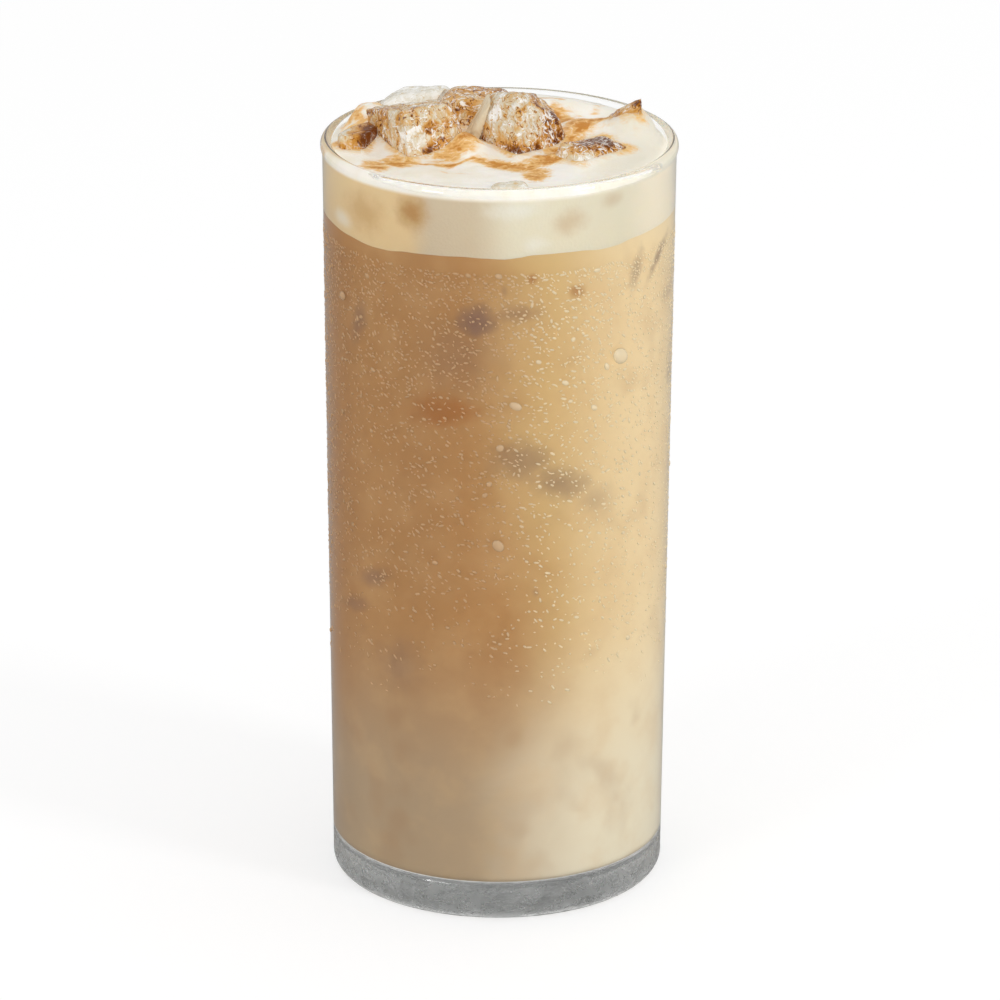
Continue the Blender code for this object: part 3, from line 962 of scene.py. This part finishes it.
def latte_finish():
    """Coffee with milk: brown, pale gold on the right partly where the milk gathers and partly as painted light,
    with sunk ice showing dimly.
    """
    finish = Finish("milky_coffee_drink")
    across, height = finish.axis("X"), finish.axis("Z")
    swirl = finish.noise(20 * MM, 3.0, 0.5, distortion=0.5)
    cloud = finish.noise(9 * MM, 4.0, 0.55)
    # Painted light and shade: the right side is pale gold and lighter still towards its edge, partly the milk's
    # own colour and partly painted light from the right, the left kept brown as painted shade.
    edge = finish.sum("ADD", across, finish.span(height, 60 * MM, 98 * MM, -8 * MM, -2 * MM))
    edge = finish.sum("ADD", edge, finish.span(swirl, 0.2, 0.8, -4 * MM, 4 * MM, False))
    edge = finish.sum("MULTIPLY", edge, finish.span(height, 56 * MM, 26 * MM, 1.0, 0.6))
    lit_milky_side = finish.span(edge, -10 * MM, 10 * MM)
    low = finish.span(height, 66 * MM, 20 * MM)
    brown = finish.mix(low, (0.46, 0.238, 0.077), (0.44, 0.32, 0.195))
    gold = finish.mix(finish.span(across, 8 * MM, 28 * MM), (0.66, 0.46, 0.20), (0.90, 0.73, 0.45))
    gold = finish.mix(low, gold, (0.85, 0.77, 0.59))
    base = finish.mix(lit_milky_side, brown, gold)
    base = finish.mix(finish.span(cloud, 0.4, 0.75, 0.0, 0.25), base, (0.68, 0.45, 0.22))
    # Painted shade: the far left edge is darker, more saturated brown.
    shaded_left_edge = finish.span(across, -24 * MM, -31 * MM, 0.0, 0.7)
    shaded_left_edge = finish.sum("MULTIPLY", shaded_left_edge, finish.span(height, 24 * MM, 52 * MM, 0.1, 1.0))
    base = finish.mix(shaded_left_edge, base, (0.44, 0.20, 0.04))
    darker = finish.span(finish.noise(13 * MM, 2.0), 0.55, 0.75, 0.0, 0.2)
    base = finish.mix(darker, base, (0.36, 0.17, 0.055))
    for shapes, colour, strength in (
        (SUNK_ICE, (0.17, 0.092, 0.080), 0.75),
        (SUNK_BROWN, (0.38, 0.14, 0.022), 0.8),
    ):
        seen = finish.most(
            [finish.sum("MULTIPLY", finish.patch(*shape), share) for *shape, share in shapes]
        )
        base = finish.mix(finish.sum("MULTIPLY", seen, strength), base, colour)
    # The underside, seen only through the thick base, is painted grey with pale mottles as painted shade and
    # reflection for what the base shows; just above it runs a dark line of painted shade, and at its edge a thin
    # bright line, a painted reflection.
    rim = finish.span(height, BASE_THICKNESS + 0.5 * MM, BASE_THICKNESS + 0.35 * MM)
    painted_shade_line = finish.span(height, BASE_THICKNESS + 1.1 * MM, BASE_THICKNESS + 0.5 * MM, 0.0, 0.4)
    base = finish.mix(painted_shade_line, base, (0.30, 0.19, 0.10))
    under = finish.noise(5 * MM, 4.0, 0.6, distortion=0.8)
    grey = finish.mix(finish.span(under, 0.35, 0.7), (0.30, 0.305, 0.30), (0.76, 0.77, 0.76))
    painted_highlight = finish.span(height, BASE_THICKNESS + 0.02 * MM, BASE_THICKNESS + 0.12 * MM)
    grey = finish.mix(painted_highlight, grey, (0.93, 0.93, 0.90))
    base = finish.mix(rim, base, grey)
    finish.join(base, finish.shader.inputs["Base Color"])
    socket_value(finish.shader, {"Roughness": 0.5, "Specular IOR Level": 0.2})
    return finish.material


def foam_finish():
    """Cream-white milk foam with orange-tan coffee stains and fine bubbles."""
    finish = Finish("stained_milk_foam")
    stain = finish.node("ShaderNodeAttribute", attribute_name="stain").outputs["Fac"]
    cloud = finish.noise(8 * MM, 4.0, 0.55)
    fleck = finish.noise(1.6 * MM, 4.0, 0.7, distortion=0.8)
    across, height = finish.axis("X"), finish.axis("Z")
    cream = finish.mix(finish.span(cloud, 0.35, 0.75), (0.97, 0.93, 0.86), (0.90, 0.84, 0.70))
    # Painted shade: the cream darkens towards the right.
    cream = finish.mix(finish.span(across, 16 * MM, 28 * MM, 0.0, 0.7), cream, (0.76, 0.71, 0.57))
    side = finish.span(height, 149.6 * MM, 148.4 * MM)
    # On the side seen through the glass the foam runs from tan on the left to pale cream on the right: partly
    # its own tan, partly painted shade on the left and painted light on the right.
    left = finish.span(across, -12.5 * MM, -17.5 * MM)
    walled = finish.mix(left, (0.66, 0.55, 0.385), (0.79, 0.60, 0.325))
    walled = finish.mix(finish.span(across, -6 * MM, 4 * MM), walled, (0.80, 0.745, 0.58))
    walled = finish.mix(finish.span(across, 22 * MM, 30 * MM), walled, (0.94, 0.85, 0.68))
    tan = finish.most(
        [
            finish.patch((-16.0, -28, 145.4), (4.4, 12, 5.4), 0, 0.7, 0.9),
            finish.sum("MULTIPLY", finish.patch((-25.0, -21, 143.0), (6.0, 14, 6.0), 0, 0.8, 1.0), 0.5),
            finish.sum("MULTIPLY", finish.patch((13.0, -31, 144.0), (5.5, 12, 4.0), 20, 0.8, 1.0), 0.4),
            finish.sum("MULTIPLY", finish.patch((21.0, -26, 147.0), (3.0, 12, 2.4), 0, 0.8, 1.0), 0.3),
        ]
    )
    walled = finish.mix(tan, walled, (0.50, 0.27, 0.075))
    milk = finish.most(
        [
            finish.patch((-29.3, -16, 139.8), (2.6, 12, 2.6), 0, 0.6, 0.9),
            finish.patch((2.5, -33, 147.0), (8.0, 12, 3.0), 0, 1.0, 1.0),
            finish.patch((7.0, -33, 140.0), (4.0, 12, 2.4), 0, 1.0, 1.0),
        ]
    )
    walled = finish.mix(finish.sum("MULTIPLY", milk, 0.6), walled, (0.86, 0.85, 0.77))
    cream = finish.mix(side, cream, walled)
    drawn = finish.noise(1.1 * MM, 3.0, 0.65, finish.flow(86, 5.0), 0.8)
    strength = finish.sum("MULTIPLY", stain, finish.span(fleck, 0.25, 0.6, 0.45, 1.15))
    strength = finish.sum("MULTIPLY", strength, finish.span(drawn, 0.3, 0.65, 0.7, 1.2))
    strength = finish.sum("MULTIPLY", strength, finish.span(side, 0.3, 0.9, 1.0, 0.1))
    cream = finish.mix(finish.span(strength, 0.08, 0.5), cream, (0.86, 0.53, 0.20))
    cream = finish.mix(finish.span(strength, 0.4, 0.9), cream, (0.60, 0.25, 0.035))
    finish.join(cream, finish.shader.inputs["Base Color"])
    bubbles = finish.cells(0.55 * MM)
    relief = finish.sum("ADD", bubbles, finish.sum("MULTIPLY", fleck, 0.6))
    finish.join(finish.bump(relief, 0.09 * MM, 0.5), finish.shader.inputs["Normal"])
    finish.join(
        finish.span(fleck, 0.3, 0.7, 0.38, 0.55, False), finish.shader.inputs["Roughness"]
    )
    socket_value(
        finish.shader,
        {
            "Subsurface Weight": 0.25,
            "Subsurface Radius": (0.004, 0.003, 0.002),
            "Subsurface Scale": 0.6,
            "Specular IOR Level": 0.3,
        },
    )
    return finish.material


# Looks of the ice: lightness, contrast, strength of the white lines painted as glints, lean of the
# streaks in degrees, facet size and depth in millimetres, then places tinted brown and places
# frosted white: centre, half size, twist, strength
ICE_LOOKS = {
    "ice_left": (
        0.58, 1.1, 0.95, 10, 2.1, 0.42,
        (
            ((-23.6, -3.0, 154.0), (3.8, 12, 8.0), 10, 0.45), ((-15.5, 0.0, 161.6), (11.0, 14, 3.4), 4, 1.1),
            ((-8.0, -1.0, 157.0), (2.2, 10, 4.6), 20, 0.65), ((-12.5, -6.0, 151.4), (4.4, 8, 2.0), 20, 0.8),
            ((-13.2, -6.0, 155.6), (2.2, 8, 1.8), 0, 1.0),
        ),
        (((-16.5, -6.0, 153.5), (3.6, 12, 6.0), 10, 0.6), ((-11.5, -4.0, 157.6), (3.0, 8, 1.8), 0, 0.5)),
    ),
    "ice_centre": (
        0.58, 1.2, 0.95, 27, 1.9, 0.45,
        (
            ((12.4, -2.0, 153.5), (6.0, 12, 9.0), 16, 1.1), ((5.4, -8.0, 150.2), (6.8, 8, 3.6), -10, 1.2),
            ((-3.4, -4.0, 151.0), (1.8, 8, 3.4), 30, 1.0), ((8.5, 0.0, 160.4), (4.0, 8, 2.6), 30, 1.1),
        ),
        (((0.4, -4.0, 156.6), (4.4, 12, 6.0), 24, 0.8), ((5.0, -6.0, 154.0), (3.0, 8, 3.2), 10, 0.3)),
    ),
    "ice_back": (
        0.46, 1.0, 0.9, 80, 2.4, 0.36,
        (((-2.0, 10.0, 158.8), (11.0, 14, 1.6), -4, 0.8), ((6.0, 9.0, 156.6), (2.6, 10, 2.0), 0, 0.6)),
        (((1.0, 10.0, 160.4), (6.0, 12, 1.0), -4, 0.6),),
    ),
    "ice_slab": (0.69, 0.10, 0.0, 30, 3.2, 0.16, (), ()),
    "ice_right": (
        0.36, 1.1, 0.9, 60, 2.4, 0.30,
        (((18.5, -6.0, 153.8), (9.0, 12, 2.4), -6, 0.8),),
        (((16.5, -13.5, 149.8), (8.0, 6, 3.0), -8, 1.2),),
    ),
    "ice_rim": (
        0.36, 0.7, 0.30, 0, 3.6, 0.16,
        (((-25.0, -2.0, 151.4), (3.2, 10, 4.0), 0, 1.0), ((-29.0, -1.0, 155.4), (5.0, 12, 1.2), 0, 0.8)),
        (((-30.6, -2.0, 153.0), (2.6, 8, 2.0), 0, 0.8),),
    ),
    "ice_front": (0.76, 0.40, 0.6, 80, 2.2, 0.20, (), ()),
    "ice_frosted": (0.88, 0.45, 0.5, 0, 2.4, 0.25, (), ()),
    "ice_peak": (
        0.44, 0.9, 0.9, -51, 1.8, 0.20, (((27.0, 3.0, 158.6), (2.0, 12, 1.6), 0, 0.4),), (),
    ),
}
BROWN_STEP = -0.42
WHITE_STEP = 0.36
ICE_COLOURS = (
    (0.0, (0.15, 0.038, 0.003)),
    (0.13, (0.33, 0.115, 0.010)),
    (0.28, (0.57, 0.26, 0.045)),
    (0.44, (0.68, 0.39, 0.13)),
    (0.60, (0.70, 0.55, 0.33)),
    (0.80, (0.76, 0.72, 0.60)),
    (1.0, (1.0, 1.0, 0.98)),
)


def ice_ramp(finish, value):
    """The ice's colours from dark coffee brown to white."""
    ramp = finish.node("ShaderNodeValToRGB")
    finish.join(value, ramp.inputs["Fac"])
    points = ramp.color_ramp.elements
    for point, (at, colour) in zip(points, (ICE_COLOURS[0], ICE_COLOURS[-1])):
        point.position, point.color = at, (*colour, 1.0)
    for at, colour in ICE_COLOURS[1:-1]:
        points.new(at).color = (*colour, 1.0)
    return ramp.outputs["Color"]


def ice_finish(name):
    """Wet cracked ice: facets from silver to brown, streaks over them, and thin white lines painted over them as
    glints.
    """
    level, contrast, net, twist, _, _, brown_places, white_places = ICE_LOOKS[name]
    finish = Finish(name + "_look")
    ridge = finish.node("ShaderNodeAttribute", attribute_name="ridge").outputs["Fac"]
    flow = finish.flow(twist, 4.0)
    cloud = finish.noise(3.0 * MM, 4.0, 0.6, distortion=0.8)
    streak = finish.noise(0.9 * MM, 3.0, 0.6, flow, 0.6)
    wander = finish.wobble(2.0 * MM, 0.5 * MM)
    value = level
    for pattern, low, high, reach in (
        (finish.shards(2.8 * MM, wander), 0.0, 1.0, 0.14),
        (finish.shards(1.2 * MM, wander), 0.0, 1.0, 0.06),
        (cloud, 0.3, 0.7, 0.16),
        (streak, 0.3, 0.7, 0.12),
    ):
        reach *= contrast
        value = finish.sum("ADD", finish.span(pattern, low, high, -reach, reach, False), value)
    masks = []
    for places, step in ((brown_places, BROWN_STEP), (white_places, WHITE_STEP)):
        if places:
            mask = finish.most(
                [
                    finish.sum("MULTIPLY", finish.patch(centre, size, twist, 0.5, 0.6), share)
                    for centre, size, twist, share in places
                ]
            )
            masks.append((step, mask))
            value = finish.sum("ADD", value, finish.sum("MULTIPLY", mask, step))
    vein = finish.lines(2.1 * MM, 0.035, finish.wobble(1.4 * MM, 0.7 * MM), 0.8)
    vein = finish.sum("MULTIPLY", vein, finish.span(streak, 0.42, 0.56, 0.0, -0.5 * contrast))
    colour = ice_ramp(finish, finish.sum("ADD", value, vein))
    # Painted highlights: white glints on winding lines, on the ridges and as dashes over the brown places.
    fine = finish.sum("MULTIPLY", finish.lines(0.9 * MM, 0.03), 0.35)
    painted_highlight = finish.span(ridge, 0.82, 1.0)
    glint = finish.most([finish.lines(1.5 * MM, 0.05, wander, 0.6), fine, painted_highlight])
    glint = finish.sum("MULTIPLY", glint, finish.span(cloud, 0.42, 0.56, 0.12, 1.0))
    dashes = finish.span(finish.cells(1.1 * MM, flow), 0.24, 0.14)
    for step, mask in masks:
        if step < 0:
            glint = finish.most([glint, finish.sum("MULTIPLY", dashes, mask)])
    glint = finish.sum("MULTIPLY", glint, net)
    colour = finish.mix(glint, colour, (1.0, 0.99, 0.96))
    finish.join(colour, finish.shader.inputs["Base Color"])
    relief = finish.sum("ADD", streak, finish.sum("MULTIPLY", glint, 0.4))
    finish.join(finish.bump(relief, 0.3 * MM, 0.6), finish.shader.inputs["Normal"])
    finish.join(
        finish.span(streak, 0.4, 0.7, 0.12, 0.3, False), finish.shader.inputs["Roughness"]
    )
    socket_value(
        finish.shader,
        {
            "IOR": 1.31,
            "Transmission Weight": 0.05,
            "Specular IOR Level": 0.4,
            "Specular Tint": (1.0, 0.78, 0.52, 1.0),
        },
    )
    finish.let_lamps_through()
    return finish.material


# ---- studio


def make_floor():
    bm = bmesh.new()
    bmesh.ops.create_grid(bm, x_segments=2, y_segments=2, size=4.0)
    floor = object_from(bm, "floor", body=None)
    finish = Finish("white_floor")
    socket_value(
        finish.shader,
        {
            "Base Color": (0.45, 0.45, 0.45, 1.0),
            "Roughness": 0.9,
            "Specular IOR Level": 0.0,
            "Emission Color": (1.0, 1.0, 1.0, 1.0),
        },
    )
    path = finish.node("ShaderNodeLightPath")
    seen = finish.sum("MAXIMUM", path.outputs["Is Camera Ray"], path.outputs["Is Transmission Ray"])
    glow = finish.span(seen, 0.0, 1.0, 0.0, 0.6, False)
    finish.join(glow, finish.shader.inputs["Emission Strength"])
    floor.data.materials.append(finish.material)


def softbox(name, place, size, power, aim=(0, 0, 0.08), colour=(1.0, 1.0, 1.0)):
    light = bpy.data.lights.new(name, "AREA")
    light.shape = "RECTANGLE"
    light.size, light.size_y = size
    light.energy = power
    light.color = colour
    lamp = bpy.data.objects.new(name, light)
    bpy.context.scene.collection.objects.link(lamp)
    lamp.location = place
    lamp.rotation_euler = (Vector(aim) - Vector(place)).to_track_quat("-Z", "Y").to_euler()


def make_studio():
    world = bpy.data.worlds.new("studio")
    bpy.context.scene.world = world
    world.use_nodes = True
    sky = world.node_tree.nodes["Background"]
    sky.inputs["Color"].default_value = (1.0, 1.0, 1.0, 1.0)
    sky.inputs["Strength"].default_value = 0.8
    softbox("key", (1.1, -0.7, 0.6), (0.26, 0.26), 5)
    softbox("fill", (-1.0, -1.1, 0.4), (0.36, 0.36), 5)
    bpy.context.scene.view_settings.view_transform = "Standard"


def make_camera():
    data = bpy.data.cameras.new("camera")
    data.sensor_width = 36.0
    data.lens = 238.2
    data.clip_start = 0.05
    data.clip_end = 20.0
    camera = bpy.data.objects.new("camera", data)
    bpy.context.scene.collection.objects.link(camera)
    pitch = Matrix.Rotation(math.radians(90 - 20.17), 4, "X")
    roll = Matrix.Rotation(math.radians(0.207), 4, "Z")
    yaw = Matrix.Rotation(math.radians(-0.0165), 4, "Z")
    camera.matrix_world = Matrix.Translation((0, -1.2286, 0.5278)) @ yaw @ pitch @ roll
    bpy.context.scene.camera = camera


def main():
    make_camera()
    make_studio()
    make_floor()
    glass = make_glass()
    latte = make_latte()
    foam = make_foam()
    glass.data.materials.append(glass_finish())
    latte.data.materials.clear()
    latte.data.materials.append(latte_finish())
    foam.data.materials.clear()
    foam.data.materials.append(foam_finish())
    for name, (_, _, _, _, facet_size, facet_depth, _, _) in ICE_LOOKS.items():
        block = make_ice(name, facet_size * MM, facet_depth * MM)
        block.data.materials.clear()
        block.data.materials.append(ice_finish(name))
    big_drops, fine_drops = make_condensation()
    big_drops.data.materials.append(water_finish("clear_water", 0.12, 0.3))
    fine_drops.data.materials.append(water_finish("water_with_painted_highlights", 0.5, 0.25))


main()
